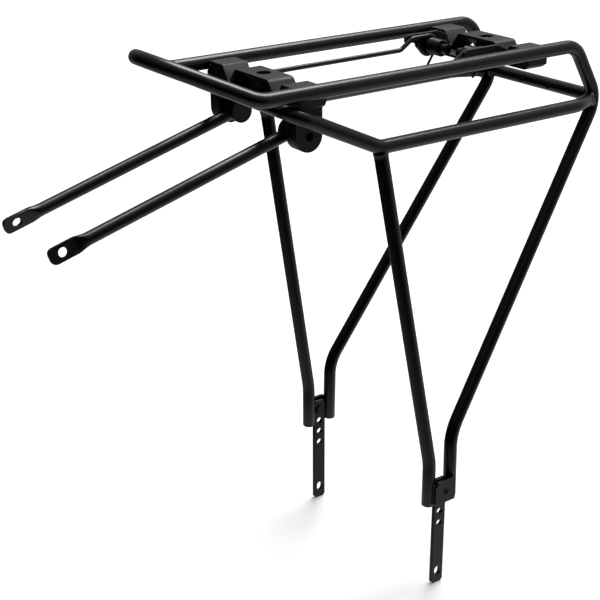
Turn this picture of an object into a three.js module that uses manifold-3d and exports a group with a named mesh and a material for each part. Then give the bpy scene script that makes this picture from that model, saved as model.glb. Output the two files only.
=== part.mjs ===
// Rear rack for a bicycle: bent tube frame, two bridge plates, two adjustable stays,
// two bolt-on foot strips and a sprung wire bow.
// Millimetres. +X points to the rear of the bicycle, +Y to its right side, +Z up.
// The origin is midway between the two lower slots of the foot strips.
import * as THREE from 'three';
import { mergeVertices } from 'three/addons/utils/BufferGeometryUtils.js';
import Module from 'manifold-3d';

const wasm = await Module();
wasm.setup();

// ---- driving dimensions -------------------------------------------------------------
const GAP = 0.3;                 // gap left between pieces that touch
const TUBE_R = 5;                // frame tube, 10 mm outside
const ROD_R = 4.3;               // stay rod
const WIRE_R = 1.8;              // bow wire
const SPRING_WIRE_R = 0.95;

const RAIL_Y = 57.5;             // top rails, half spacing
const RAIL_Z = 392.3;            // top rail centre height
const KINK_X = -143.8;           // where the rails turn into the front hoop
const HOOP_RISE = 24.9;          // tilt of the front hoop above the deck, degrees
const HOOP_TURN = 36;            // angle of the hoop's sides to the rails, degrees
const KINK_R = 16;               // bends between the rails and the hoop
const HOOP_R = 36;               // nose radius
const REAR_TOP_X = 133.7;        // upper rear bend
const KNEE = [161.6, 56.2, 349.1];
const TOP_BEND_R = 18;

const LOWER_Y = 67.5;            // bag rails, half spacing at the front corner
const LOWER_REAR_Y = 68.4;
const LOWER_Z = 350.4;
const LOWER_FRONT_X = -56.2;
const LOWER_FRONT_R = 15;
const LOWER_REAR_X = 129;
const LOWER_END = [151.5, 59.4];
const CROSS_X = -123.3;          // front end of the lower loop, welded under the top rails
const CROSS_Y = 60;
const CROSS_Z = 382;

const FOOT_Y = 77.7;             // feet, half spacing
const FOOT_FRONT_X = -10.7;
const FOOT_REAR_X = 10.7;
const FRONT_BEND_Z = 99.4;
const REAR_BEND_Z = 117.8;
const REAR_BEND_Y = 76.6;
const LEG_END_Z = 63.5;

const CROSSBAR_X = 157.4;
const CROSSBAR_Z = 351.4;
const CROSSBAR_HALF = 51.2;
const LIGHT_HOLE_Y = 14.2;
const LIGHT_HOLE_R = 2.2;

const STRIP_W = 10.9;
const STRIP_T = 3;
const STRIP_Y = 78.1;            // middle of the strip's thickness
const STRIP_TOP = 83.5;
const STRIP_BOTTOM = -10.4;
const STRIP_HOLES_Z = [75.4, 65, 54.6, 44.2];
const STRIP_HOLE_R = 2.75;
const SLOT_HALF = 1.45;          // half the straight part of the lower slot
const PLATE_Z = [65.2, 84.3];
const PLATE_Y = 83.1;            // inner face of the foot plate
const PLATE_T = 2.4;
const NUT_Y = 75.1;              // inner face of the thin clamp nut
const PLATE_HALF_X = 9.9;

const BRIDGE_Z = 394.4;          // top face of both bridge plates
const BRIDGE_T = 2.4;
const BRIDGE_LEN = 20.4;
const FRONT_BRIDGE_X = -112.8;   // front edge of the front bridge
const REAR_BRIDGE_X = 88.5;
const VALLEY_Y = 28.3;
const VALLEY_Z = 384;
const HAT_Y = 21.5;              // half width of the raised middle
const WING_Y = 35.5;             // inner edge of the side wings
const BRIDGE_HOLE_R = 5.1;
const BLOCK_BOTTOM = 379.5;
const BASE_T = 2;

const PIVOT_X = -102.6;
const PIVOT_Z = 361.75;
const LUG_R = 10.5;
const LUG_Y = [40.8, 52.3];
const BARREL_R = 8;
const BARREL_Y = [27.6, 40.5];
const STAY_Y = 33.7;
const STAY_TILT = 15.5;          // degrees below level, towards the eye
const EYE_X = -272.8;
const EYE_HOLE_R = 3.2;
const EYE_HALF_W = 5.5;          // flattened end, half width
const EYE_HALF_T = 1.25;         // and half thickness
const EYE_END = 9.3;             // from the hole to the tip
const EYE_CORNER_R = 3.7;
const EYE_FLAT = 9;              // from the hole to where the rod starts to be pressed flat
const EYE_BLEND = 9;
const EYE_TWIST = 10.3;          // degrees the flat is turned about the rod

const AXLE_X = 66.5;
const AXLE_Z = 386.8;
const BOW_Y = 29;
const BOW_Z = 385.7;
const BOW_FRONT_X = -88;
const LOOP_R = 6.9;              // bow's loop round the spring screw, centre line
const SHOULDER_R = 4.8;          // shoulder of the spring screw inside the loop
const COIL_R = 5.3;

// ---- small tools --------------------------------------------------------------------
const v = (x, y, z) => new THREE.Vector3(x, y, z);
const rad = THREE.MathUtils.degToRad;
const group = new THREE.Group();
group.name = 'rear_rack';

const finishes = {
  frame_black: new THREE.MeshStandardMaterial({ color: 0x17181a, roughness: 0.45, metalness: 0.3 }),
  bracket_black: new THREE.MeshStandardMaterial({ color: 0x26272a, roughness: 0.6, metalness: 0.2 }),
  steel_black: new THREE.MeshStandardMaterial({ color: 0x1c1c1e, roughness: 0.35, metalness: 0.8 }),
};

function addPiece(name, geometry, finish) {
  const mesh = new THREE.Mesh(geometry, finishes[finish]);
  mesh.name = name;
  group.add(mesh);
}

// A line through points whose frames follow the stored points exactly.
class BentLine extends THREE.Curve {
  constructor(points) {
    super();
    this.points = points;
  }

  getPoint(t, target = new THREE.Vector3()) {
    const place = t * (this.points.length - 1);
    const low = Math.min(Math.floor(place), this.points.length - 2);
    return target.lerpVectors(this.points[low], this.points[low + 1], place - low);
  }

  getPointAt(u, target) {
    return this.getPoint(u, target);
  }

  getSpacedPoints() {
    return this.points.map((p) => p.clone());
  }

  getTangentAt(u, target = new THREE.Vector3()) {
    const last = this.points.length - 1;
    const i = Math.round(u * last);
    const before = this.points[Math.max(i, 1)].clone().sub(this.points[Math.max(i, 1) - 1]);
    const after = this.points[Math.min(i, last - 1) + 1].clone();
    after.sub(this.points[Math.min(i, last - 1)]);
    return target.copy(before.normalize()).add(after.normalize()).normalize();
  }
}

// Corner points to a dense line with a round bend of the given radius at each inner corner.
function bend(corners, radii, stepDegrees = 9) {
  const line = [corners[0].clone()];
  for (let i = 1; i < corners.length - 1; i += 1) {
    const corner = corners[i];
    const a = corners[i - 1].clone().sub(corner).normalize();
    const b = corners[i + 1].clone().sub(corner).normalize();
    const turn = Math.PI - a.angleTo(b);
    const radius = radii[i - 1];
    const start = corner.clone().addScaledVector(a, radius * Math.tan(turn / 2));
    const middle = a.clone().add(b).normalize();
    const centre = corner.clone().addScaledVector(middle, radius / Math.cos(turn / 2));
    const axis = a.clone().cross(b).normalize().negate();
    const spoke = start.clone().sub(centre);
    const steps = Math.max(2, Math.ceil(THREE.MathUtils.radToDeg(turn) / stepDegrees));
    for (let k = 0; k <= steps; k += 1) {
      line.push(spoke.clone().applyAxisAngle(axis, (turn * k) / steps).add(centre));
    }
  }
  line.push(corners[corners.length - 1].clone());
  return line;
}

function circle(radius, sides) {
  const points = [];
  for (let i = 0; i < sides; i += 1) {
    const angle = (2 * Math.PI * (i + 0.5)) / sides;
    points.push(new THREE.Vector2(radius * Math.cos(angle), radius * Math.sin(angle)));
  }
  return points;
}

function sweep(points, radius, sides = 16) {
  return new THREE.ExtrudeGeometry(new THREE.Shape(circle(radius, sides)), {
    steps: points.length - 1,
    bevelEnabled: false,
    extrudePath: new BentLine(points),
  });
}

function rod(from, to, radius, sides = 24) {
  const axis = to.clone().sub(from);
  const geometry = new THREE.CylinderGeometry(radius, radius, axis.length(), sides);
  const turn = new THREE.Quaternion().setFromUnitVectors(v(0, 1, 0), axis.clone().normalize());
  geometry.applyQuaternion(turn);
  geometry.translate(...from.clone().add(to).multiplyScalar(0.5).toArray());
  return geometry;
}

// Extrudes an outline. plane 'yz' runs along X, 'xz' along Y and 'xy' along Z, from low to high.
function slab(outline, plane, low, high) {
  const shape = new THREE.Shape(outline.map(([a, b]) => new THREE.Vector2(a, b)));
  const geometry = new THREE.ExtrudeGeometry(shape, {
    depth: high - low,
    bevelEnabled: false,
  });
  const place = new THREE.Matrix4();
  if (plane === 'yz') {
    place.makeBasis(v(0, 1, 0), v(0, 0, 1), v(1, 0, 0)).setPosition(low, 0, 0);
  } else if (plane === 'xz') {
    place.makeBasis(v(1, 0, 0), v(0, 0, 1), v(0, -1, 0)).setPosition(0, high, 0);
  } else {
    place.setPosition(0, 0, low);
  }
  return geometry.applyMatrix4(place);
}

function solid(geometry) {
  const bare = geometry.clone();
  bare.deleteAttribute('normal');
  bare.deleteAttribute('uv');
  const merged = mergeVertices(bare, 1e-4);
  const mesh = new wasm.Mesh({
    numProp: 3,
    vertProperties: new Float32Array(merged.attributes.position.array),
    triVerts: new Uint32Array(merged.index.array),
  });
  mesh.merge();
  return new wasm.Manifold(mesh);
}

function surface(body) {
  const mesh = body.getMesh();
  const geometry = new THREE.BufferGeometry();
  geometry.setAttribute('position', new THREE.BufferAttribute(mesh.vertProperties, 3));
  geometry.setIndex(new THREE.BufferAttribute(mesh.triVerts, 1));
  geometry.computeVertexNormals();
  return geometry;
}

function cut(base, ...tools) {
  let body = solid(base);
  for (const tool of tools) {
    body = body.subtract(solid(tool));
  }
  return surface(body);
}

function join(...parts) {
  let body = solid(parts[0]);
  for (const part of parts.slice(1)) {
    body = body.add(solid(part));
  }
  return surface(body);
}

// Skin through closed rings of equal length, ordered along the piece.
function loft(rings) {
  const count = rings[0].length;
  const index = [];
  for (let i = 0; i < rings.length - 1; i += 1) {
    for (let k = 0; k < count; k += 1) {
      const next = (k + 1) % count;
      const [a, b] = [i * count + k, i * count + next];
      index.push(a, b, b + count, a, b + count, a + count);
    }
  }
  const last = (rings.length - 1) * count;
  for (let k = 1; k < count - 1; k += 1) {
    index.push(0, k + 1, k, last, last + k, last + k + 1);
  }
  const geometry = new THREE.BufferGeometry();
  const places = rings.flat().flatMap((p) => p.toArray());
  geometry.setAttribute('position', new THREE.Float32BufferAttribute(places, 3));
  geometry.setIndex(index);
  return geometry;
}

// Section of a stay at s mm behind its eye hole: a flat bar that turns into a round rod.
function stayRing(s) {
  const tip = Math.max(0, EYE_CORNER_R - (s + EYE_END));
  const half = EYE_HALF_W - EYE_CORNER_R + Math.sqrt(EYE_CORNER_R ** 2 - tip ** 2);
  const part = THREE.MathUtils.smoothstep(s, EYE_FLAT, EYE_FLAT + EYE_BLEND);
  const ring = [];
  for (let k = 0; k < 24; k += 1) {
    const [c, d] = [Math.cos(rad(k * 15)), Math.sin(rad(k * 15))];
    const reach = Math.max(Math.abs(c), Math.abs(d));
    ring.push([
      (1 - part) * half * (c / reach) + part * ROD_R * c,
      (1 - part) * EYE_HALF_T * (d / reach) + part * ROD_R * d,
    ]);
  }
  return ring;
}

// Arc points in a plane, angles in degrees.
function arc(a, b, radius, from, to, steps) {
  const points = [];
  for (let i = 0; i <= steps; i += 1) {
    const angle = rad(from + ((to - from) * i) / steps);
    points.push([a + radius * Math.cos(angle), b + radius * Math.sin(angle)]);
  }
  return points;
}

// ---- frame tubes --------------------------------------------------------------------
const rise = v(-Math.cos(rad(HOOP_RISE)), 0, Math.sin(rad(HOOP_RISE)));
const noseReach = RAIL_Y / Math.tan(rad(HOOP_TURN));
const RAIL_FRONT_X = KINK_X + 14;
const RAIL_REAR_X = 117.6;

const hoopLine = bend([
  v(RAIL_FRONT_X, -RAIL_Y, RAIL_Z),
  v(KINK_X, -RAIL_Y, RAIL_Z),
  v(KINK_X, 0, RAIL_Z).addScaledVector(rise, noseReach),
  v(KINK_X, RAIL_Y, RAIL_Z),
  v(RAIL_FRONT_X, RAIL_Y, RAIL_Z),
], [KINK_R, HOOP_R, KINK_R]);
addPiece('front_hoop', sweep(hoopLine, TUBE_R), 'frame_black');

const towardsFront = v(LOWER_FRONT_X - CROSS_X, LOWER_Y - CROSS_Y, LOWER_Z - CROSS_Z).normalize();
const crossTail = 27;
const crossLine = bend([
  v(CROSS_X + towardsFront.x * crossTail, -CROSS_Y - towardsFront.y * crossTail,
    CROSS_Z + towardsFront.z * crossTail),
  v(CROSS_X, -CROSS_Y, CROSS_Z),
  v(CROSS_X, CROSS_Y, CROSS_Z),
  v(CROSS_X + towardsFront.x * crossTail, CROSS_Y + towardsFront.y * crossTail,
    CROSS_Z + towardsFront.z * crossTail),
], [17, 17]);
addPiece('front_crossmember', sweep(crossLine, TUBE_R), 'frame_black');

for (const [name, side] of [['left', -1], ['right', 1]]) {
  const top = [v(RAIL_FRONT_X + GAP, side * RAIL_Y, RAIL_Z), v(RAIL_REAR_X, side * RAIL_Y, RAIL_Z)];
  addPiece(`${name}_top_rail`, sweep(top, TUBE_R), 'frame_black');

  const knee = v(KNEE[0], side * KNEE[1], KNEE[2]);
  const rearFoot = v(FOOT_REAR_X, side * REAR_BEND_Y, REAR_BEND_Z);
  const down = rearFoot.clone().sub(knee).normalize();
  const upright = bend([
    v(RAIL_REAR_X + GAP, side * RAIL_Y, RAIL_Z),
    v(REAR_TOP_X, side * RAIL_Y, RAIL_Z),
    knee,
    knee.clone().addScaledVector(down, 24),
  ], [TOP_BEND_R, 21]);
  addPiece(`${name}_rear_upright`, sweep(upright, TUBE_R), 'frame_black');

  const rearLeg = bend([
    knee.clone().addScaledVector(down, 24 + GAP),
    rearFoot,
    v(FOOT_REAR_X, side * FOOT_Y, LEG_END_Z + 1.5),
  ], [40]);
  addPiece(`${name}_rear_leg`, sweep(rearLeg, TUBE_R), 'frame_black');

  const corner = v(LOWER_FRONT_X, side * LOWER_Y, LOWER_Z);
  const lower = bend([
    v(CROSS_X, side * CROSS_Y, CROSS_Z)
      .add(v(towardsFront.x, side * towardsFront.y, towardsFront.z).multiplyScalar(crossTail + GAP)),
    corner,
    v(LOWER_REAR_X, side * LOWER_REAR_Y, LOWER_Z),
    v(LOWER_END[0], side * LOWER_END[1], LOWER_Z - 0.3),
  ], [LOWER_FRONT_R, 22]);
  addPiece(`${name}_bag_rail`, sweep(lower, TUBE_R), 'frame_black');

  const frontFoot = v(FOOT_FRONT_X, side * FOOT_Y, FRONT_BEND_Z);
  const drop = frontFoot.clone().sub(corner).normalize();
  const frontLeg = bend([
    corner.clone().addScaledVector(drop, 6.6),
    frontFoot,
    v(FOOT_FRONT_X, side * FOOT_Y, LEG_END_Z),
  ], [60]);
  addPiece(`${name}_front_leg`, sweep(frontLeg, TUBE_R), 'frame_black');
}

const lightHoles = [-1, 1].map((side) => rod(
  v(CROSSBAR_X - 9, side * LIGHT_HOLE_Y, CROSSBAR_Z),
  v(CROSSBAR_X + 9, side * LIGHT_HOLE_Y, CROSSBAR_Z), LIGHT_HOLE_R, 16));
const crossbar = rod(v(CROSSBAR_X, -CROSSBAR_HALF, CROSSBAR_Z),
  v(CROSSBAR_X, CROSSBAR_HALF, CROSSBAR_Z), TUBE_R, 20);
addPiece('rear_crossbar', cut(crossbar, ...lightHoles), 'frame_black');

// ---- feet: welded plate, perforated strip, bolt and nut -------------------------------
for (const [name, side] of [['left', -1], ['right', 1]]) {
  const band = (low, high) => (side > 0 ? [low, high] : [-high, -low]);
  const boltZ = STRIP_HOLES_Z[0];
  const hole = (z, radius) => rod(v(0, side * 60, z), v(0, side * 95, z), radius, 20);

  const plate = slab([
    [-PLATE_HALF_X, PLATE_Z[1] - 3],
    [-PLATE_HALF_X, PLATE_Z[0] + 1],
    [-PLATE_HALF_X + 1, PLATE_Z[0]],
    [PLATE_HALF_X - 1, PLATE_Z[0]],
    [PLATE_HALF_X, PLATE_Z[0] + 1],
    [PLATE_HALF_X, PLATE_Z[1] - 1.2],
    [PLATE_HALF_X - 1.2, PLATE_Z[1]],
    [-PLATE_HALF_X + 3, PLATE_Z[1]],
  ], 'xz', ...band(PLATE_Y, PLATE_Y + PLATE_T));
  addPiece(`${name}_foot_plate`, cut(plate, hole(boltZ, 2.7)), 'frame_black');

  const half = STRIP_W / 2;
  const c = 1.6;
  const strip = slab([
    [-half, STRIP_TOP - c],
    [-half, STRIP_BOTTOM + c],
    [-half + c, STRIP_BOTTOM],
    [half - c, STRIP_BOTTOM],
    [half, STRIP_BOTTOM + c],
    [half, STRIP_TOP - c],
    [half - c, STRIP_TOP],
    [-half + c, STRIP_TOP],
  ], 'xz', ...band(STRIP_Y - STRIP_T / 2, STRIP_Y + STRIP_T / 2));
  const slotOutline = [
    ...arc(0, SLOT_HALF, STRIP_HOLE_R, 0, 180, 10),
    ...arc(0, -SLOT_HALF, STRIP_HOLE_R, 180, 360, 10),
  ];
  const slot = slab(slotOutline, 'xz', ...band(STRIP_Y - 5, STRIP_Y + 5));
  addPiece(`${name}_foot_strip`, cut(strip, slot, ...STRIP_HOLES_Z.map((z) => hole(z, STRIP_HOLE_R))),
    'frame_black');

  // A spacer sleeve fills the space between plate and strip, and a countersunk screw clamps both.
  const sleeve = rod(v(0, side * (STRIP_Y + STRIP_T / 2 + GAP), boltZ),
    v(0, side * (PLATE_Y - GAP), boltZ), 4.4, 20);
  addPiece(`${name}_foot_spacer`, cut(sleeve, hole(boltZ, 2.6)), 'steel_black');

  const shank = rod(v(0, side * (NUT_Y + 0.1), boltZ), v(0, side * (PLATE_Y + 1.9), boltZ), 2.35, 20);
  const socket = rod(v(0, side * (PLATE_Y + 0.2), boltZ), v(0, side * 90, boltZ), 1.4, 6);
  addPiece(`${name}_foot_screw`, cut(shank, socket), 'steel_black');

  const nut = rod(v(0, side * NUT_Y, boltZ), v(0, side * (STRIP_Y - STRIP_T / 2 - GAP), boltZ), 4.2, 6);
  addPiece(`${name}_foot_nut`, cut(nut, hole(boltZ, 2.45)), 'steel_black');
}

// ---- bridge plates, their end blocks and base plates ----------------------------------
// Half outline of the bent sheet's top face, from the middle to the rail.
function bridgeOutline() {
  const t = BRIDGE_T;
  const top = [
    ...arc(HAT_Y - 3.4, BRIDGE_Z - 4, 4, 90, 30, 4),
    [VALLEY_Y - 0.8, VALLEY_Z + 0.2],
    [VALLEY_Y + 0.8, VALLEY_Z + 0.2],
    [WING_Y - 0.4, BRIDGE_Z - 0.6],
    [WING_Y + 0.5, BRIDGE_Z],
    [52.1, BRIDGE_Z],
  ];
  const under = [
    [51.9, BRIDGE_Z - t],
    [WING_Y + 1.8, BRIDGE_Z - t],
    [VALLEY_Y + 1.9, VALLEY_Z - t + 0.3],
    [VALLEY_Y - 1.9, VALLEY_Z - t + 0.3],
    ...arc(HAT_Y - 3.4, BRIDGE_Z - 4, 1.8, 30, 90, 3),
  ];
  const mirrored = (list) => list.map(([y, z]) => [-y, z]).reverse();
  return [...mirrored(top), ...top, ...under, ...mirrored(under)].reverse();
}

const bridges = [
  ['front', FRONT_BRIDGE_X, FRONT_BRIDGE_X, BRIDGE_LEN],
  ['rear', REAR_BRIDGE_X, 74, REAR_BRIDGE_X + BRIDGE_LEN - 74],
];
for (const [name, startX, baseX, baseLen] of bridges) {
  const middleX = startX + BRIDGE_LEN / 2;
  const upright = (radius, sides = 28) => rod(v(middleX, 0, 360), v(middleX, 0, 410), radius, sides);
  addPiece(`${name}_bridge_plate`, cut(
    slab(bridgeOutline(), 'yz', startX, startX + BRIDGE_LEN), upright(BRIDGE_HOLE_R)), 'bracket_black');

  const base = slab([
    [-29.9, BLOCK_BOTTOM + BASE_T],
    [-29.9, BLOCK_BOTTOM],
    [29.9, BLOCK_BOTTOM],
    [29.9, BLOCK_BOTTOM + BASE_T],
  ], 'yz', baseX, baseX + baseLen);
  addPiece(`${name}_bridge_base`, cut(base, upright(4.6, 20)), 'bracket_black');

  // Threaded bush that hangs in the middle, under the plate's hole.
  const bush = join(
    rod(v(middleX, 0, BLOCK_BOTTOM + BASE_T + GAP), v(middleX, 0, BRIDGE_Z - BRIDGE_T - GAP), 7.2, 24),
    rod(v(middleX, 0, BLOCK_BOTTOM + 0.4), v(middleX, 0, BLOCK_BOTTOM + 3.4), 4.3, 20));
  addPiece(`${name}_bridge_bush`, cut(bush, upright(3.4, 20)), 'steel_black');
}

function blockOutline(side) {
  const outline = [
    [30.3, BLOCK_BOTTOM],
    [52, BLOCK_BOTTOM],
    [56, 382.3],
    [56, 386.7],
    ...arc(RAIL_Y, RAIL_Z, TUBE_R + GAP, 253, 184, 7),
    [51.9, BRIDGE_Z - BRIDGE_T - GAP],
    [WING_Y + 2.2, BRIDGE_Z - BRIDGE_T - GAP],
    [30.8, VALLEY_Z - 2.4],
  ];
  return side > 0 ? outline : outline.map(([y, z]) => [-y, z]).reverse();
}

for (const [name, side] of [['left', -1], ['right', 1]]) {
  const band = (low, high) => (side > 0 ? [low, high] : [-high, -low]);
  const across = (near, far, radius, sides) => rod(
    v(PIVOT_X, side * near, PIVOT_Z), v(PIVOT_X, side * far, PIVOT_Z), radius, sides);

  const frontBlock = slab(blockOutline(side), 'yz', FRONT_BRIDGE_X, FRONT_BRIDGE_X + BRIDGE_LEN);
  const lug = slab([
    [PIVOT_X - LUG_R, BLOCK_BOTTOM + 1],
    ...arc(PIVOT_X, PIVOT_Z, LUG_R, 180, 360, 20),
    [PIVOT_X + LUG_R, BLOCK_BOTTOM + 1],
  ], 'xz', ...band(...LUG_Y));
  const tabEnd = FRONT_BRIDGE_X + BRIDGE_LEN + 3.6;
  const tab = slab([
    [FRONT_BRIDGE_X + BRIDGE_LEN - 2, 386],
    [FRONT_BRIDGE_X + BRIDGE_LEN - 2, 381.3],
    [tabEnd - 1.2, 381.3],
    [tabEnd, 382.5],
    [tabEnd, 386],
  ], 'xz', ...band(44, 52));
  const hanger = surface(solid(frontBlock).add(solid(lug)).add(solid(tab))
    .subtract(solid(across(38, 56, 3.1, 24))));
  addPiece(`${name}_stay_hanger`, hanger, 'bracket_black');

  const rearBlock = slab(blockOutline(side), 'yz', REAR_BRIDGE_X, REAR_BRIDGE_X + BRIDGE_LEN - 2);
  addPiece(`${name}_rear_block`, rearBlock, 'bracket_black');

  // Barrel that grips the stay: cross hole for the rod, threaded hole for the set screw.
  const tilt = rad(STAY_TILT);
  const along = v(Math.cos(tilt), 0, Math.sin(tilt));
  const heart = v(PIVOT_X, side * STAY_Y, PIVOT_Z);
  const bore = rod(heart.clone().addScaledVector(along, -20), heart.clone().addScaledVector(along, 20),
    ROD_R + 0.15, 28);
  addPiece(`${name}_stay_barrel`,
    cut(across(...BARREL_Y, BARREL_R, 36), bore, across(STAY_Y, 45, 2.9, 20)), 'bracket_black');

  const screw = across(STAY_Y + ROD_R + 0.45, LUG_Y[1] - 2.6, 2.75, 20);
  addPiece(`${name}_stay_screw`, cut(screw, across(LUG_Y[1] - 5.5, 60, 1.5, 6)), 'steel_black');

  // Stay: round rod, pressed flat into an eye at the front end.
  const eye = heart.clone().addScaledVector(along, (EYE_X - PIVOT_X) / along.x);
  const inward = v(along.z * Math.sin(rad(EYE_TWIST)), -side * Math.cos(rad(EYE_TWIST)),
    -along.x * Math.sin(rad(EYE_TWIST)));
  const broad = inward.clone().cross(along);
  const rodEnd = heart.distanceTo(eye) + 9.2;
  const stations = [-EYE_END, -EYE_END + 0.35, -EYE_END + 1, -EYE_END + 2, -EYE_END + EYE_CORNER_R,
    EYE_FLAT, EYE_FLAT + 2, EYE_FLAT + 4, EYE_FLAT + 6, EYE_FLAT + EYE_BLEND, rodEnd];
  const rings = stations.map((s) => {
    const centre = eye.clone().addScaledVector(along, s);
    return stayRing(s).map(([a, b]) => centre.clone().addScaledVector(broad, a)
      .addScaledVector(inward, b));
  });
  const eyeHole = rod(eye.clone().addScaledVector(inward, -6), eye.clone().addScaledVector(inward, 6),
    EYE_HOLE_R, 24);
  const stay = solid(loft(rings)).subtract(solid(eyeHole));
  addPiece(`${name}_stay`, surface(stay), 'frame_black');

  // Ear that carries the spring screw, standing on the rear base.
  const ear = slab([
    [AXLE_X - 17.5, 395.8],
    [AXLE_X - 20, 394.2],
    [AXLE_X - 20, 390.4],
    [AXLE_X - 10.5, 389],
    [AXLE_X - 3, BLOCK_BOTTOM],
    [REAR_BRIDGE_X - GAP, BLOCK_BOTTOM],
    [REAR_BRIDGE_X - GAP, 391.5],
    [AXLE_X + 12, 395.8],
  ], 'xz', ...band(31.2, 34));
  const spindleHole = rod(v(AXLE_X, side * 25, AXLE_Z), v(AXLE_X, side * 40, AXLE_Z), 2.5, 20);
  addPiece(`${name}_spring_ear`, cut(ear, spindleHole), 'bracket_black');

  const spindle = join(
    rod(v(AXLE_X, side * 6.4, AXLE_Z), v(AXLE_X, side * 12, AXLE_Z), 3.9, 28),
    rod(v(AXLE_X, side * 26.6, AXLE_Z), v(AXLE_X, side * 30.9, AXLE_Z), SHOULDER_R, 28),
    rod(v(AXLE_X, side * 11.5, AXLE_Z), v(AXLE_X, side * 34.6, AXLE_Z), 2.4, 20));
  const hex = rod(v(AXLE_X, side * 2, AXLE_Z), v(AXLE_X, side * 9.6, AXLE_Z), 2.1, 6);
  addPiece(`${name}_spring_screw`, cut(spindle, hex), 'steel_black');

  // Torsion spring: one leg runs down beside the ear, the coil closes against the screw head.
  const startTurn = -33.7;
  const coil = [];
  for (let i = 0; i <= 76; i += 1) {
    const angle = rad(startTurn + i * 30);
    coil.push(v(AXLE_X + COIL_R * Math.cos(angle), side * (25.2 - (i / 12) * 2.1),
      AXLE_Z + COIL_R * Math.sin(angle)));
  }
  const leg = coil[0].clone().add(v(14 * Math.sin(rad(startTurn)), 0, -14 * Math.cos(rad(startTurn))));
  addPiece(`${name}_torsion_spring`, sweep([leg, ...coil], SPRING_WIRE_R, 8),
    'steel_black');
}

// ---- sprung wire bow --------------------------------------------------------------------
function bowSide(side) {
  const loop = [];
  for (let angle = 90; angle >= -135; angle -= 22.5) {
    loop.push(v(AXLE_X + LOOP_R * Math.cos(rad(angle)), side * BOW_Y,
      AXLE_Z + LOOP_R * Math.sin(rad(angle))));
  }
  const lead = bend([
    v(BOW_FRONT_X + 10, side * BOW_Y, BOW_Z),
    v(39.5, side * BOW_Y, BOW_Z + 0.3),
    v(50.8, side * BOW_Y, 393.4),
    loop[0],
  ], [7, 6], 15);
  const tail = loop[loop.length - 1].clone().add(v(-6.7, 0, 6.7));
  return [...lead.slice(1, -1), ...loop, tail];
}
const bowFront = bend([
  v(BOW_FRONT_X + 12, -BOW_Y, BOW_Z),
  v(BOW_FRONT_X, -BOW_Y, BOW_Z),
  v(BOW_FRONT_X, BOW_Y, BOW_Z),
  v(BOW_FRONT_X + 12, BOW_Y, BOW_Z),
], [8, 8], 12);
const bowLine = [...bowSide(-1).reverse(), ...bowFront.slice(1, -1), ...bowSide(1)];
addPiece('spring_bow', sweep(bowLine, WIRE_R, 10), 'steel_black');

export default group;
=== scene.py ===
import math

import bmesh
import bpy
from mathutils import Matrix, Quaternion, Vector


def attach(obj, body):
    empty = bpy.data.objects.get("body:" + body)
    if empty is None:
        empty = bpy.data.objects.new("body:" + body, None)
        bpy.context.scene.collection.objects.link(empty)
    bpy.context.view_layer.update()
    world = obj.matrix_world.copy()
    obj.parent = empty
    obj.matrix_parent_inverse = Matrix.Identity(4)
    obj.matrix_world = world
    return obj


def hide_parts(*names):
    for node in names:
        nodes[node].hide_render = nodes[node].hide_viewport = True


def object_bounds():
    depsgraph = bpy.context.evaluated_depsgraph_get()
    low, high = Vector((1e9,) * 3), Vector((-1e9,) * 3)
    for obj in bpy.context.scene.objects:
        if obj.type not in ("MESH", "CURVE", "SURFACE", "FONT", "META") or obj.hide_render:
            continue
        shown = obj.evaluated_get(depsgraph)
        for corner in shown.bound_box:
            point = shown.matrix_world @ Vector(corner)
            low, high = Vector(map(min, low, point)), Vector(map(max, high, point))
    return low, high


# Lengths are millimetres on the part's own axes until a mesh is made, and metres from there on.
MM = 0.001

# ---- camera, at the photograph's viewing angle ----------------------------------------
CAMERA_AT = (-574.60, -710.53, 591.97)
CAMERA_YAW = -35.17
CAMERA_PITCH = 23.07
CAMERA_ROLL = -0.32
CAMERA_LENS = 77.315
SENSOR_WIDTH = 36


def make_camera():
    data = bpy.data.cameras.new("camera")
    data.sensor_width = SENSOR_WIDTH
    data.lens = CAMERA_LENS
    data.clip_start = 0.01
    data.clip_end = 50
    camera = bpy.data.objects.new("camera", data)
    bpy.context.collection.objects.link(camera)
    turn = (Matrix.Rotation(math.radians(CAMERA_YAW), 4, "Z")
            @ Matrix.Rotation(math.radians(90 - CAMERA_PITCH), 4, "X")
            @ Matrix.Rotation(math.radians(CAMERA_ROLL), 4, "Z"))
    camera.matrix_world = Matrix.Translation(Vector(CAMERA_AT) * MM) @ turn
    bpy.context.scene.camera = camera


make_camera()
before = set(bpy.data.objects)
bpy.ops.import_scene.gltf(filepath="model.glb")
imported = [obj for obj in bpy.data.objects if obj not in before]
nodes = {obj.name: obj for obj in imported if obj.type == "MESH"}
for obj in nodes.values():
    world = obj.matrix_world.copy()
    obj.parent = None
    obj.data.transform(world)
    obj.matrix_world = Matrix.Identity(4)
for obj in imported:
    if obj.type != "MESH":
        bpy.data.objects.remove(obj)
cad_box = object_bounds()

# ---- dimensions of the drawn pieces -----------------------------------------------------
TUBE_R = 5
RAIL_Y = 57.5
RAIL_Z = 392.3
KINK_X = -143.8
HOOP_RISE = 24.9
HOOP_TURN = 36
KINK_R = 16
HOOP_R = 36
REAR_TOP_X = 133.7
KNEE = (161.6, 56.2, 349.1)
KNEE_R = 21
TOP_BEND_R = 18
LOWER_Y = 67.5
LOWER_REAR_Y = 68.4
LOWER_Z = 350.4
LOWER_FRONT_X = -56.2
LOWER_FRONT_R = 15
LOWER_REAR_X = 129
LOWER_END = (152.6, 59.0)
LOWER_END_DROP = 0.3
LOWER_REAR_R = 22
LOWER_CROSS_R = 17
CROSS_X = -123.3
CROSS_Y = 60
CROSS_Z = 382
CROSSBAR_X = 157.4
CROSSBAR_Z = 351.4
CROSSBAR_HALF = 51.2
FOOT_Y = 77.7
FOOT_FRONT_X = -10.7
FOOT_REAR_X = 10.7
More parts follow.
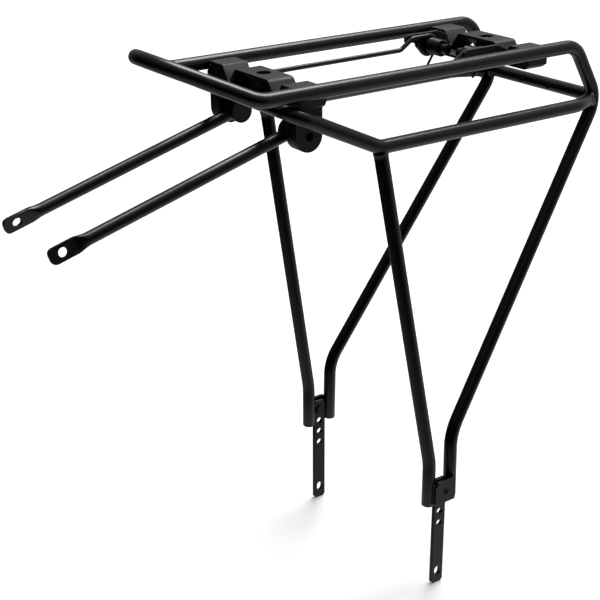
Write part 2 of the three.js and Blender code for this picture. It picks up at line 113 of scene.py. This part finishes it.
FRONT_BEND_Z = 99.4
REAR_BEND_Z = 117.8
REAR_BEND_Y = 76.6
REAR_FOOT_R = 40
FRONT_FOOT_R = 60
LEG_END_Z = 63.5
REAR_LEG_LIFT = 1.5
FRONT_LEG_GAP = 1.5
PLATE_EDGE_X = 10.3
PLATE_EDGE_Y = 83.2
PLATE_FROM_Z = 65.9
SEAM_POINTS = 25
SEAM_STEP = 0.7
SEAM_R = 0.95
SEAM_WAVER = 0.12
SEAM_WAVES = 3.1
WELD_GAP = 0.03
WELD_OVER = 0.9
WELD_STEPS = 6
WELD_POINTS = 72
RIPPLES = 18
RIPPLE_HEIGHT = 0.07
RIPPLE_TWIST = 2.5
RIPPLE_ONSET = 4
RAIL_WELD_BACK = 2.0
LEG_WELD_DOWN = 5.0
AXLE_X = 66.5
AXLE_Z = 386.8
BOW_Y = 29
BOW_Z = 385.7
BOW_FRONT_X = -88
BOW_FRONT_R = 8
BOW_DIP = (39.5, 0.3)
BOW_CREST = (50.8, 393.4)
BOW_DIP_R = 7
BOW_CREST_R = 6
BOW_TAIL = 6.7
LOOP_R = 6.9
LOOP_STEP = 5
LOOP_STEPS = 45
COIL_R = 5.3
COIL_START = -33.7
COIL_FROM_Y = 25.2
COIL_PITCH = 2.1
COIL_STEP = 10
COIL_STEPS = 228
COIL_LEG = 14
WIRE_R = 1.8
SPRING_WIRE_R = 0.95
TUBE_SIDES = 40
WIRE_SIDES = 20
THIN_WIRE_SIDES = 14
SIDES = (("left", -1), ("right", 1))


# ---- geometry tools -----------------------------------------------------------------------
SWEEP_SHARP_ANGLE = 35
DETAIL_SHARP_ANGLE = 60
BEVEL_ANGLE = 28
FLAT_ANGLE = 1.0
MERGE_DISTANCE = 2e-6  # metres


def bend(corners, radii, step=3.0):
    """Corner points to a dense line, with a round bend of the given radius at each corner."""
    corners = [Vector(c) for c in corners]
    line = [corners[0]]
    for i in range(1, len(corners) - 1):
        corner = corners[i]
        a = (corners[i - 1] - corner).normalized()
        b = (corners[i + 1] - corner).normalized()
        turn = math.pi - a.angle(b)
        radius = radii[i - 1]
        start = corner + a * radius * math.tan(turn / 2)
        centre = corner + (a + b).normalized() * radius / math.cos(turn / 2)
        axis = -(a.cross(b)).normalized()
        spoke = start - centre
        steps = max(2, math.ceil(math.degrees(turn) / step))
        for k in range(steps + 1):
            line.append(Quaternion(axis, turn * k / steps) @ spoke + centre)
    line.append(corners[-1])
    return line


def make_object(name, bm, body="frame"):
    """A finished bmesh, in millimetres, to an object that rides on a body."""
    bmesh.ops.recalc_face_normals(bm, faces=bm.faces)
    bmesh.ops.scale(bm, vec=(MM, MM, MM), verts=bm.verts)
    mesh = bpy.data.meshes.new(name)
    bm.to_mesh(mesh)
    bm.free()
    mesh.shade_smooth()
    mesh.set_sharp_from_angle(angle=math.radians(SWEEP_SHARP_ANGLE))
    obj = bpy.data.objects.new(name, mesh)
    bpy.context.collection.objects.link(obj)
    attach(obj, body)
    return obj


def add_rings(bm, rings):
    """Joins rings of equal length into a closed skin, with a cap at each end."""
    made = [[bm.verts.new(p) for p in ring] for ring in rings]
    count = len(made[0])
    for low, high in zip(made, made[1:]):
        for k in range(count):
            n = (k + 1) % count
            bm.faces.new((low[k], low[n], high[n], high[k]))
    bm.faces.new(list(reversed(made[0])))
    bm.faces.new(made[-1])


def sweep_rings(line, radius, sides, soften):
    """Rings of a round wire or tube along a line; soften is the rounding of its two ends."""
    line = [Vector(p) for p in line]
    tangents = []
    for i in range(len(line)):
        before = (line[max(i, 1)] - line[max(i, 1) - 1]).normalized()
        after = (line[min(i, len(line) - 2) + 1] - line[min(i, len(line) - 2)]).normalized()
        tangents.append((before + after).normalized())
    side = tangents[0].orthogonal().normalized()
    rings = []
    for i, (point, tangent) in enumerate(zip(line, tangents)):
        if i:
            side = tangents[i - 1].rotation_difference(tangent) @ side
        side = (side - tangent * side.dot(tangent)).normalized()
        up = tangent.cross(side)
        places = [(0.0, radius)]
        if i == 0:
            places = [(soften * (1 - math.sin(t)), radius - soften * (1 - math.cos(t)))
                      for t in (math.pi / 2, math.pi / 4, 0)]
        elif i == len(line) - 1:
            places = [(-soften * (1 - math.sin(t)), radius - soften * (1 - math.cos(t)))
                      for t in (0, math.pi / 4, math.pi / 2)]
        for shift, r in places:
            centre = point + tangent * shift
            rings.append([centre + (side * math.cos(2 * math.pi * k / sides)
                                    + up * math.sin(2 * math.pi * k / sides)) * r
                          for k in range(sides)])
    return rings


def sweep(name, line, radius, body="frame", sides=TUBE_SIDES, soften=0.6):
    """A wire or tube of round section along a line."""
    bm = bmesh.new()
    add_rings(bm, sweep_rings(line, radius, sides, soften))
    return make_object(name, bm, body)


def detail_of(name, width, finish, segments=3, body="frame"):
    """A copy of a CAD node with its flats merged and its edges rounded, which stands for it."""
    bm = bmesh.new()
    bm.from_mesh(nodes[name].data)
    bmesh.ops.remove_doubles(bm, verts=bm.verts, dist=MERGE_DISTANCE)
    bmesh.ops.dissolve_limit(bm, angle_limit=math.radians(FLAT_ANGLE), verts=bm.verts,
                             edges=bm.edges, delimit={"NORMAL"})
    mesh = bpy.data.meshes.new(name + "_detail")
    bm.to_mesh(mesh)
    bm.free()
    obj = bpy.data.objects.new(name + "_detail", mesh)
    bpy.context.collection.objects.link(obj)
    rounding = obj.modifiers.new("rounding", "BEVEL")
    rounding.width = width * MM
    rounding.segments = segments
    rounding.limit_method = "ANGLE"
    rounding.angle_limit = math.radians(BEVEL_ANGLE)
    rounding.harden_normals = True
    rounding.use_clamp_overlap = True
    mesh.shade_smooth()
    mesh.set_sharp_from_angle(angle=math.radians(DETAIL_SHARP_ANGLE))
    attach(obj, body)
    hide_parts(name)
    dress(obj, finish)


# ---- finishes -----------------------------------------------------------------------------
COAT_ROUGHNESS = 0.28
PATCH_FROM = 0.3
PATCH_TO = 0.72
DARK_PATCH = 0.82
LIGHT_PATCH = 1.18
# Painted highlight: convex edges get a base colour this many times paler than the coat.
EDGE_HIGHLIGHT_GAIN = 2.4
EDGE_FROM = 0.53
EDGE_TO = 0.66
GLOSS_LESS = 0.035
GLOSS_MORE = 0.045
GRAIN_DEPTH = 0.00006  # metres


def coat(name, colour, roughness, grain_scale, grain, mottle, edge, coat_weight=0.0):
    """Black finish: fine grain in the bump, slow drift in gloss, and convex edges made paler as a
    painted highlight.
    """
    material = bpy.data.materials.new(name)
    material.use_nodes = True
    tree = material.node_tree
    tree.nodes.clear()

    def node(kind, **values):
        made = tree.nodes.new(kind)
        for key, value in values.items():
            setattr(made, key, value)
        return made

    def link(a, out, b, into):
        tree.links.new(a.outputs[out], b.inputs[into])

    out = node("ShaderNodeOutputMaterial")
    shader = node("ShaderNodeBsdfPrincipled")
    link(shader, "BSDF", out, "Surface")
    shader.inputs["Metallic"].default_value = 0.0
    shader.inputs["IOR"].default_value = 1.5
    shader.inputs["Specular IOR Level"].default_value = 0.5
    shader.inputs["Coat Weight"].default_value = coat_weight
    shader.inputs["Coat Roughness"].default_value = COAT_ROUGHNESS
    place = node("ShaderNodeTexCoord")

    drift = node("ShaderNodeTexNoise")
    drift.inputs["Scale"].default_value = mottle
    drift.inputs["Detail"].default_value = 3
    link(place, "Object", drift, "Vector")
    speck = node("ShaderNodeTexNoise")
    speck.inputs["Scale"].default_value = grain_scale
    speck.inputs["Detail"].default_value = 4
    speck.inputs["Roughness"].default_value = 0.6
    link(place, "Object", speck, "Vector")

    tone = node("ShaderNodeValToRGB")
    tone.color_ramp.elements[0].position = PATCH_FROM
    tone.color_ramp.elements[1].position = PATCH_TO
    tone.color_ramp.elements[0].color = (*[c * DARK_PATCH for c in colour], 1)
    tone.color_ramp.elements[1].color = (*[c * LIGHT_PATCH for c in colour], 1)
    link(drift, "Fac", tone, "Fac")
    # Painted highlight: convex edges, picked out by pointiness, are mixed towards a paler base colour.
    edge_highlight_mix = node("ShaderNodeMix", data_type="RGBA")
    edge_highlight_mix.inputs["B"].default_value = (*[c * EDGE_HIGHLIGHT_GAIN for c in colour], 1)
    link(tone, "Color", edge_highlight_mix, "A")
    shape = node("ShaderNodeNewGeometry")
    rim = node("ShaderNodeMapRange")
    rim.inputs["From Min"].default_value = EDGE_FROM
    rim.inputs["From Max"].default_value = EDGE_TO
    rim.inputs["To Max"].default_value = edge
    link(shape, "Pointiness", rim, "Value")
    link(rim, "Result", edge_highlight_mix, "Factor")
    link(edge_highlight_mix, "Result", shader, "Base Color")

    gloss = node("ShaderNodeMapRange")
    gloss.inputs["From Min"].default_value = 0.3
    gloss.inputs["From Max"].default_value = 0.7
    gloss.inputs["To Min"].default_value = roughness - GLOSS_LESS
    gloss.inputs["To Max"].default_value = roughness + GLOSS_MORE
    link(drift, "Fac", gloss, "Value")
    link(gloss, "Result", shader, "Roughness")

    bump = node("ShaderNodeBump")
    bump.inputs["Strength"].default_value = grain
    bump.inputs["Distance"].default_value = GRAIN_DEPTH
    link(speck, "Fac", bump, "Height")
    link(bump, "Normal", shader, "Normal")
    return material


# edge sets the strength of the painted highlight on convex edges.
finishes = {
    "frame_black": coat("frame_coat", (0.0045, 0.0045, 0.005), roughness=0.31, grain_scale=2600,
                        grain=0.55, mottle=38, edge=0.35, coat_weight=0.12),
    "bracket_black": coat("bracket_coat", (0.012, 0.012, 0.013), roughness=0.52, grain_scale=3400,
                          grain=0.8, mottle=60, edge=0.4),
    "steel_black": coat("steel_coat", (0.006, 0.006, 0.0065), roughness=0.33, grain_scale=1900,
                        grain=0.35, mottle=90, edge=0.5, coat_weight=0.1),
}


def dress(obj, finish):
    obj.data.materials.clear()
    obj.data.materials.append(finishes[finish])


# ---- the two bent loops of the frame ---------------------------------------------------------
def half_of_top_loop(side):
    """From the rear foot up the leg, round the knee and forward along the rail."""
    knee = Vector((KNEE[0], side * KNEE[1], KNEE[2]))
    foot = Vector((FOOT_REAR_X, side * REAR_BEND_Y, REAR_BEND_Z))
    return [
        Vector((FOOT_REAR_X, side * FOOT_Y, LEG_END_Z + REAR_LEG_LIFT)),
        foot,
        knee,
        Vector((REAR_TOP_X, side * RAIL_Y, RAIL_Z)),
        Vector((KINK_X, side * RAIL_Y, RAIL_Z)),
    ]


rise = Vector((-math.cos(math.radians(HOOP_RISE)), 0, math.sin(math.radians(HOOP_RISE))))
nose = Vector((KINK_X, 0, RAIL_Z)) + rise * (RAIL_Y / math.tan(math.radians(HOOP_TURN)))
top_corners = half_of_top_loop(-1) + [nose] + half_of_top_loop(1)[::-1]
side_radii = [REAR_FOOT_R, KNEE_R, TOP_BEND_R, KINK_R]
top_loop = sweep("top_loop", bend(top_corners, side_radii + [HOOP_R] + side_radii[::-1]), TUBE_R)
dress(top_loop, "frame_black")
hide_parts("front_hoop", "left_top_rail", "right_top_rail", "left_rear_upright",
            "right_rear_upright", "left_rear_leg", "right_rear_leg")

lower_corners = [
    Vector((LOWER_END[0], -LOWER_END[1], LOWER_Z - LOWER_END_DROP)),
    Vector((LOWER_REAR_X, -LOWER_REAR_Y, LOWER_Z)),
    Vector((LOWER_FRONT_X, -LOWER_Y, LOWER_Z)),
    Vector((CROSS_X, -CROSS_Y, CROSS_Z)),
]
lower_corners += [Vector((p.x, -p.y, p.z)) for p in reversed(lower_corners)]
half_radii = [LOWER_REAR_R, LOWER_FRONT_R, LOWER_CROSS_R]
lower_loop = sweep("lower_loop", bend(lower_corners, half_radii + half_radii[::-1]), TUBE_R)
dress(lower_loop, "frame_black")
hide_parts("front_crossmember", "left_bag_rail", "right_bag_rail")


def front_leg_line(side):
    """The lower loop's front corner, the bend above the foot, and the way down between them."""
    corner = Vector((LOWER_FRONT_X, side * LOWER_Y, LOWER_Z))
    foot = Vector((FOOT_FRONT_X, side * FOOT_Y, FRONT_BEND_Z))
    return corner, foot, (foot - corner).normalized()


for name, side in SIDES:
    corner, foot, drop = front_leg_line(side)
    end = Vector((FOOT_FRONT_X, side * FOOT_Y, LEG_END_Z))
    leg_line = bend([corner + drop * FRONT_LEG_GAP, foot, end], [FRONT_FOOT_R])
    leg = sweep(name + "_front_leg_tube", leg_line, TUBE_R)
    dress(leg, "frame_black")
    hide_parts(name + "_front_leg")


# ---- weld beads ----------------------------------------------------------------------------------
def weld(name, at, towards, reach=2.6, swell=1.1):
    """A rippled fillet round a tube's end at a point, widening in the given direction."""
    at, towards = Vector(at), Vector(towards).normalized()
    side = towards.orthogonal().normalized()
    up = towards.cross(side)
    rings = []
    for step in range(WELD_STEPS + 1):
        t = step / WELD_STEPS
        widen = swell * (1 - math.sqrt(max(0.0, 1 - t * t)))
        ring = []
        for k in range(WELD_POINTS):
            angle = 2 * math.pi * k / WELD_POINTS
            ripple = RIPPLE_HEIGHT * math.sin(RIPPLES * angle + RIPPLE_TWIST * t)
            ripple *= min(1, RIPPLE_ONSET * t)
            radius = TUBE_R + WELD_GAP + widen + ripple
            ring.append(at + towards * (t - 1) * reach + towards * WELD_OVER * t
                        + (side * math.cos(angle) + up * math.sin(angle)) * radius)
        rings.append(ring)
    bm = bmesh.new()
    add_rings(bm, rings)
    bead = make_object(name, bm)
    dress(bead, "frame_black")


for name, side in SIDES:
    weld(name + "_crossbar_weld", (CROSSBAR_X, side * CROSSBAR_HALF, CROSSBAR_Z), (0, side, 0))
    rail_from = Vector((LOWER_REAR_X, side * LOWER_REAR_Y, LOWER_Z))
    rail_to = Vector((LOWER_END[0], side * LOWER_END[1], LOWER_Z - LOWER_END_DROP))
    weld(name + "_bag_rail_weld", rail_to - (rail_to - rail_from).normalized() * RAIL_WELD_BACK,
         rail_to - rail_from)
    corner, foot, drop = front_leg_line(side)
    weld(name + "_front_leg_weld", corner + drop * LEG_WELD_DOWN, -drop, reach=2.2, swell=0.4)
    for end, x in (("front", -PLATE_EDGE_X), ("rear", PLATE_EDGE_X)):
        seam = []
        for k in range(SEAM_POINTS):
            z = PLATE_FROM_Z + k * SEAM_STEP
            seam.append(Vector((x + SEAM_WAVER * math.sin(z * SEAM_WAVES), side * PLATE_EDGE_Y, z)))
        bead = sweep(f"{name}_{end}_plate_weld", seam, SEAM_R, sides=THIN_WIRE_SIDES, soften=0.5)
        dress(bead, "frame_black")

# ---- brackets, feet and fasteners: the CAD shapes with rounded edges ----------------------------
detail_of("rear_crossbar", 0.3, "frame_black", 2)
for name, _ in SIDES:
    detail_of(name + "_foot_plate", 0.5, "frame_black")
    detail_of(name + "_foot_strip", 0.3, "frame_black")
    detail_of(name + "_foot_spacer", 0.2, "steel_black", 2)
    detail_of(name + "_foot_screw", 0.15, "steel_black", 2)
    detail_of(name + "_foot_nut", 0.25, "steel_black", 2)
    detail_of(name + "_stay_hanger", 0.6, "bracket_black")
    detail_of(name + "_rear_block", 0.5, "bracket_black")
    detail_of(name + "_stay_barrel", 0.5, "bracket_black", body=name + "_stay_clamp")
    detail_of(name + "_stay_screw", 0.15, "steel_black", 2)
    detail_of(name + "_spring_ear", 0.4, "bracket_black")
    detail_of(name + "_spring_screw", 0.2, "steel_black", 2)
for name in ("front", "rear"):
    detail_of(name + "_bridge_plate", 0.45, "bracket_black")
    detail_of(name + "_bridge_base", 0.35, "bracket_black")
    detail_of(name + "_bridge_bush", 0.3, "steel_black", 2)
for name, _ in SIDES:
    detail_of(name + "_stay", 0.3, "frame_black", 2, name + "_stay_rod")

# ---- springs and bow ------------------------------------------------------------------------------
# The end points of the bow's two bent stretches only aim them, and the slices drop them again.
for name, side in SIDES:
    coil = []
    for i in range(COIL_STEPS + 1):
        angle = math.radians(COIL_START + i * COIL_STEP)
        y = side * (COIL_FROM_Y - i / (360 / COIL_STEP) * COIL_PITCH)
        coil.append(Vector((AXLE_X + COIL_R * math.cos(angle), y, AXLE_Z + COIL_R * math.sin(angle))))
    lean = math.radians(COIL_START)
    tip = coil[0] + Vector((COIL_LEG * math.sin(lean), 0, -COIL_LEG * math.cos(lean)))
    spring = sweep(name + "_spring_wire", [tip] + coil, SPRING_WIRE_R, sides=THIN_WIRE_SIDES,
                   soften=0.3)
    dress(spring, "steel_black")
    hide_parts(name + "_torsion_spring")


def bow_side(side):
    """From the bow's front along one arm, over its crest and round the spring screw."""
    loop = []
    for i in range(LOOP_STEPS + 1):
        angle = math.radians(90 - i * LOOP_STEP)
        loop.append(Vector((AXLE_X + LOOP_R * math.cos(angle), side * BOW_Y,
                            AXLE_Z + LOOP_R * math.sin(angle))))
    lead = bend([
        (BOW_FRONT_X + 10, side * BOW_Y, BOW_Z),
        (BOW_DIP[0], side * BOW_Y, BOW_Z + BOW_DIP[1]),
        (BOW_CREST[0], side * BOW_Y, BOW_CREST[1]),
        loop[0],
    ], [BOW_DIP_R, BOW_CREST_R], LOOP_STEP)
    return lead[1:-1] + loop + [loop[-1] + Vector((-BOW_TAIL, 0, BOW_TAIL))]


front_corners = [(BOW_FRONT_X + 12, -BOW_Y, BOW_Z), (BOW_FRONT_X, -BOW_Y, BOW_Z),
                 (BOW_FRONT_X, BOW_Y, BOW_Z), (BOW_FRONT_X + 12, BOW_Y, BOW_Z)]
front = bend(front_corners, [BOW_FRONT_R, BOW_FRONT_R], LOOP_STEP)
bow = sweep("bow_wire", bow_side(-1)[::-1] + front[1:-1] + bow_side(1), WIRE_R, body="bow",
            sides=WIRE_SIDES, soften=0.5)
dress(bow, "steel_black")
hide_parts("spring_bow")


# ---- floor and light ---------------------------------------------------------------------------------
FLOOR_HALF = 6  # metres
FLOOR_GAP = 0.0004  # metres
FLOOR_WHITE = 0.97
FLOOR_GLOW = 0.2
BACK_WALL = (0.98, 0.2, 0.0)
ROOM_BACK = 0.40
BACK_RANGE = (-0.15, 0.95)
ROOM_ABOVE = 0.25
ABOVE_RANGE = (0.25, 1.0)
ROOM_BELOW = 0.50
BELOW_RANGE = (-0.32, -0.8)
SUN_STRENGTH = 3.0
SUN_WIDTH = 34
SUN_FROM = (0.38, 0.146, 0.91)


def make_floor():
    """White paper just under the part, which the object itself does not reflect."""
    low = cad_box[0][2]
    bm = bmesh.new()
    corners = [(-FLOOR_HALF, -FLOOR_HALF), (FLOOR_HALF, -FLOOR_HALF),
               (FLOOR_HALF, FLOOR_HALF), (-FLOOR_HALF, FLOOR_HALF)]
    bm.faces.new([bm.verts.new((x, y, low - FLOOR_GAP)) for x, y in corners])
    mesh = bpy.data.meshes.new("floor")
    bm.to_mesh(mesh)
    bm.free()
    floor = bpy.data.objects.new("floor", mesh)
    bpy.context.collection.objects.link(floor)
    material = bpy.data.materials.new("floor_paper")
    material.use_nodes = True
    shader = material.node_tree.nodes["Principled BSDF"]
    shader.inputs["Base Color"].default_value = (FLOOR_WHITE, FLOOR_WHITE, FLOOR_WHITE, 1)
    shader.inputs["Roughness"].default_value = 0.9
    shader.inputs["Emission Color"].default_value = (1, 1, 1, 1)
    shader.inputs["Emission Strength"].default_value = FLOOR_GLOW
    mesh.materials.append(material)
    floor.visible_glossy = False
    floor.visible_diffuse = False


def studio_world():
    """The camera sees plain white; the object is lit by a room that is dark on the near side."""
    world = bpy.data.worlds.new("studio")
    world.use_nodes = True
    tree = world.node_tree
    tree.nodes.clear()
    links = tree.links

    def ramp(source, low, high, strength):
        made = tree.nodes.new("ShaderNodeMapRange")
        made.inputs["From Min"].default_value = low
        made.inputs["From Max"].default_value = high
        made.inputs["To Max"].default_value = strength
        links.new(source, made.inputs["Value"])
        return made.outputs["Result"]

    def plus(a, b):
        made = tree.nodes.new("ShaderNodeMath")
        made.operation = "ADD"
        links.new(a, made.inputs[0])
        links.new(b, made.inputs[1])
        return made.outputs["Value"]

    place = tree.nodes.new("ShaderNodeTexCoord")
    split = tree.nodes.new("ShaderNodeSeparateXYZ")
    links.new(place.outputs["Generated"], split.inputs["Vector"])
    away = tree.nodes.new("ShaderNodeVectorMath")
    away.operation = "DOT_PRODUCT"
    away.inputs[1].default_value = BACK_WALL
    links.new(place.outputs["Generated"], away.inputs[0])
    back = ramp(away.outputs["Value"], *BACK_RANGE, ROOM_BACK)
    above = ramp(split.outputs["Z"], *ABOVE_RANGE, ROOM_ABOVE)
    below = ramp(split.outputs["Z"], *BELOW_RANGE, ROOM_BELOW)
    light = plus(plus(back, above), below)
    room = tree.nodes.new("ShaderNodeBackground")
    links.new(light, room.inputs["Strength"])
    paper = tree.nodes.new("ShaderNodeBackground")
    paper.inputs["Color"].default_value = (1, 1, 1, 1)
    rays = tree.nodes.new("ShaderNodeLightPath")
    pick = tree.nodes.new("ShaderNodeMixShader")
    out = tree.nodes.new("ShaderNodeOutputWorld")
    room.inputs["Color"].default_value = (1, 1, 1, 1)
    links.new(rays.outputs["Is Camera Ray"], pick.inputs["Fac"])
    links.new(room.outputs["Background"], pick.inputs[1])
    links.new(paper.outputs["Background"], pick.inputs[2])
    links.new(pick.outputs["Shader"], out.inputs["Surface"])
    bpy.context.scene.world = world


def overhead_sun():
    """A soft sun from above and behind, which makes the line of light along the rails."""
    data = bpy.data.lights.new("overhead", "SUN")
    data.energy = SUN_STRENGTH
    data.angle = math.radians(SUN_WIDTH)
    lamp = bpy.data.objects.new("overhead", data)
    bpy.context.collection.objects.link(lamp)
    lamp.matrix_world = Vector(SUN_FROM).to_track_quat("Z", "Y").to_matrix().to_4x4()


make_floor()
studio_world()
overhead_sun()
bpy.context.scene.view_settings.view_transform = "Standard"
